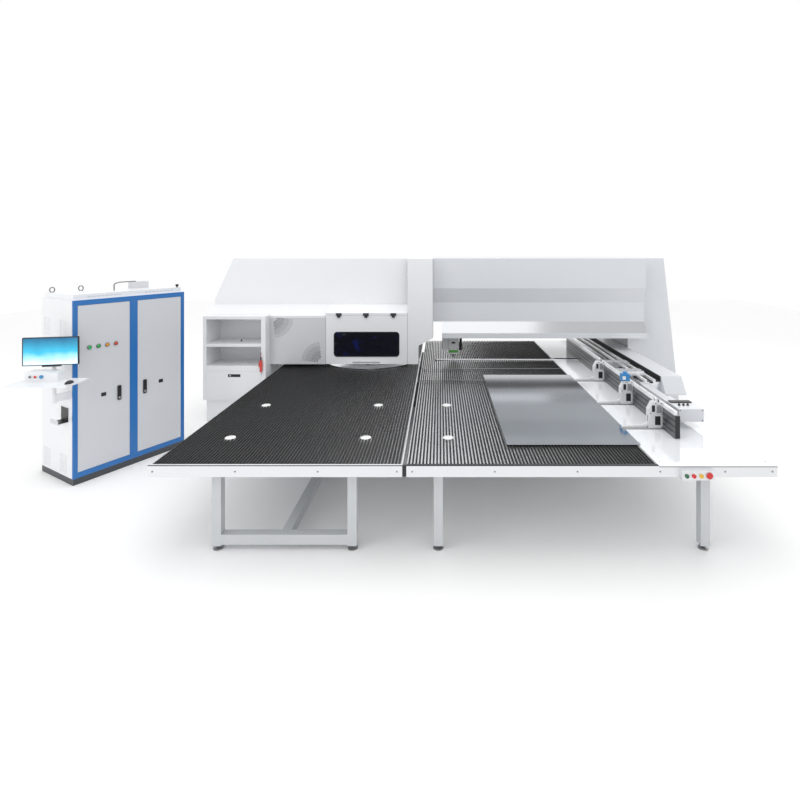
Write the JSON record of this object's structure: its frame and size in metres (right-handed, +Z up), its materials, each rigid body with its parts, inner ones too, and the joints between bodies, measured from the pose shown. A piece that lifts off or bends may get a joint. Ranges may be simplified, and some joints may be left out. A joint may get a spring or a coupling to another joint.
{
  "type": "punch-laser combination machine",
  "caption": "Bridge-frame machine that punches and laser-cuts sheet metal, with brush tables, a clamp feed beam, a tool cabinet and separate electrical cabinets with a console.",
  "frame": {"origin": "on the floor under the turret's axis", "axes": "+X along the bridge to the right, -Y towards the operator, +Z up"},
  "size_m": [8.6529, 6.323, 2.466],
  "materials": {
    "white_paint": "satin powder coat",
    "panel_grey": "satin powder coat",
    "blue_paint": "satin powder coat",
    "dark_grey_paint": "matt powder coat",
    "frame_grey": "satin powder coat",
    "black_bristle": "nylon bristle",
    "black_steel": "black oxide",
    "stainless": "brushed",
    "bright_steel": "ground",
    "aluminium": "anodised",
    "dark_profile": "dark anodised",
    "smoked_glass": "smoked",
    "black_plastic": "moulded",
    "white_plastic": "moulded",
    "green_button": "moulded",
    "red_button": "moulded",
    "yellow_button": "moulded",
    "blue_plastic": "moulded"
  },
  "bodies": {
    "machine": {"left_table_frame": "frame_grey", "right_table_frame": "frame_grey", "levelling_feet": "black_steel", "bed_plates": "aluminium", "brush_strips": "black_bristle", "deck_plate": "stainless", "front_rails": "aluminium", "ball_transfers": "white_plastic", "cross_rails": "bright_steel", "turret_ring": "bright_steel", "machine_frame": "frame_grey", "ram_head": "frame_grey", "upper_cover": "white_paint", "door_hood": "white_paint", "front_panel": "white_paint", "corner_cover": "white_paint", "bridge_cover": "white_paint", "bridge_bevel": "stainless", "end_cover": "white_paint", "left_cover": "white_paint", "hinge_frames": "black_plastic", "laser_slide": "bright_steel", "tool_cabinet": "white_paint", "air_gun": "red_button", "control_strip": "white_paint", "cabinet_plinth": "dark_grey_paint", "cabinet_shell": "white_paint", "cabinet_frame": "blue_paint", "console_stand": "white_paint"},
    "lower_turret": {"lower_turret": "bright_steel"},
    "upper_turret": {"upper_turret": "black_steel"},
    "ram": {"ram": "bright_steel"},
    "door": {"punch_door": "white_paint", "door_window": "smoked_glass", "door_handle": "stainless", "hinge_leaves": "black_plastic"},
    "laser_head": {"laser_housing": "white_paint", "laser_nozzle": "stainless"},
    "drawer": {"tool_drawer": "white_paint"},
    "feed_guide": {"guide_bed": "dark_profile", "guide_cover": "panel_grey", "guide_rail": "bright_steel", "valve_box": "panel_grey"},
    "feed_beam": {"feed_beam": "dark_profile", "beam_rail": "bright_steel", "beam_carriages": "aluminium", "sheet_metal": "stainless", "clamp_bodies": "aluminium"},
    "clamp_jaws": {"clamp_jaws": "bright_steel"},
    "start_button": {"start_button": "green_button"},
    "stop_button": {"stop_button": "red_button"},
    "reset_button": {"reset_button": "yellow_button"},
    "emergency_button": {"emergency_button": "red_button"},
    "cabinet_door_left": {"cabinet_door_left": "panel_grey", "cabinet_lamps": "green_button"},
    "cabinet_door_right": {"cabinet_door_right": "panel_grey"},
    "left_latch": {"left_latch": "black_plastic"},
    "right_latch": {"right_latch": "black_plastic"},
    "monitor": {"monitor": "black_plastic"},
    "console_knob": {"console_knob": "blue_plastic"}
  },
  "joints": [
    {"name": "lower_turret_spin", "type": "hinge", "parent": "machine", "child": "lower_turret", "pos_m": [0, 0, 0.75], "axis": [0, 0, 1], "continuous": true},
    {"name": "upper_turret_spin", "type": "hinge", "parent": "machine", "child": "upper_turret", "pos_m": [0, 0, 1.1], "axis": [0, 0, 1], "continuous": true},
    {"name": "ram_stroke", "type": "slide", "parent": "machine", "child": "ram", "axis": [0, 0, -1], "range_m": [0, 0.055]},
    {"name": "door_lift", "type": "hinge", "parent": "machine", "child": "door", "pos_m": [0, -0.645, 1.593], "axis": [-1, 0, 0], "range_deg": [0, 85]},
    {"name": "laser_height", "type": "slide", "parent": "machine", "child": "laser_head", "axis": [0, 0, 1], "range_m": [0, 0.12]},
    {"name": "drawer_slide", "type": "slide", "parent": "machine", "child": "drawer", "axis": [0, -1, 0], "range_m": [0, 0.38]},
    {"name": "guide_travel", "type": "slide", "parent": "machine", "child": "feed_guide", "axis": [-1, 0, 0], "range_m": [0, 1.3]},
    {"name": "beam_travel", "type": "slide", "parent": "feed_guide", "child": "feed_beam", "axis": [0, 1, 0], "range_m": [0, 2]},
    {"name": "jaw_opening", "type": "hinge", "parent": "feed_beam", "child": "clamp_jaws", "pos_m": [3.292, -2.417, 0.85], "axis": [0, 1, 0], "range_deg": [0, 8]},
    {"name": "start_button_press", "type": "slide", "parent": "machine", "child": "start_button", "axis": [0, 1, 0], "range_m": [0, 0.004], "stiffness_N_per_m": 400, "springref_m": -0.002},
    {"name": "stop_button_press", "type": "slide", "parent": "machine", "child": "stop_button", "axis": [0, 1, 0], "range_m": [0, 0.004], "stiffness_N_per_m": 400, "springref_m": -0.002},
    {"name": "reset_button_press", "type": "slide", "parent": "machine", "child": "reset_button", "axis": [0, 1, 0], "range_m": [0, 0.004], "stiffness_N_per_m": 400, "springref_m": -0.002},
    {"name": "emergency_button_press", "type": "slide", "parent": "machine", "child": "emergency_button", "axis": [0, 1, 0], "range_m": [0, 0.004], "stiffness_N_per_m": 400, "springref_m": -0.002},
    {"name": "cabinet_left_swing", "type": "hinge", "parent": "machine", "child": "cabinet_door_left", "pos_m": [-2.90556, -2.7386, 1.06], "axis": [0, 0, -1], "range_deg": [0, 85]},
    {"name": "cabinet_right_swing", "type": "hinge", "parent": "machine", "child": "cabinet_door_right", "pos_m": [-2.31356, -1.71323, 1.06], "axis": [0, 0, 1], "range_deg": [0, 110]},
    {"name": "left_latch_lift", "type": "hinge", "parent": "cabinet_door_left", "child": "left_latch", "pos_m": [-2.68847, -2.37319, 1], "axis": [-0.5, -0.866, 0], "range_deg": [0, 35]},
    {"name": "right_latch_lift", "type": "hinge", "parent": "cabinet_door_right", "child": "right_latch", "pos_m": [-2.53947, -2.11511, 1], "axis": [-0.5, -0.866, 0], "range_deg": [0, 35]},
    {"name": "monitor_swivel", "type": "hinge", "parent": "machine", "child": "monitor", "pos_m": [-3.05729, -2.8854, 1.528], "axis": [0, 0, 1], "range_deg": [-15, 15]},
    {"name": "console_knob_turn", "type": "hinge", "parent": "machine", "child": "console_knob", "pos_m": [-3.07229, -3.0354, 1.276], "axis": [0, -1, 0], "range_deg": [-135, 135]}
  ],
  "couplings": [
    {"joint": "upper_turret_spin", "follows": "lower_turret_spin", "ratio": 1}
  ]
}
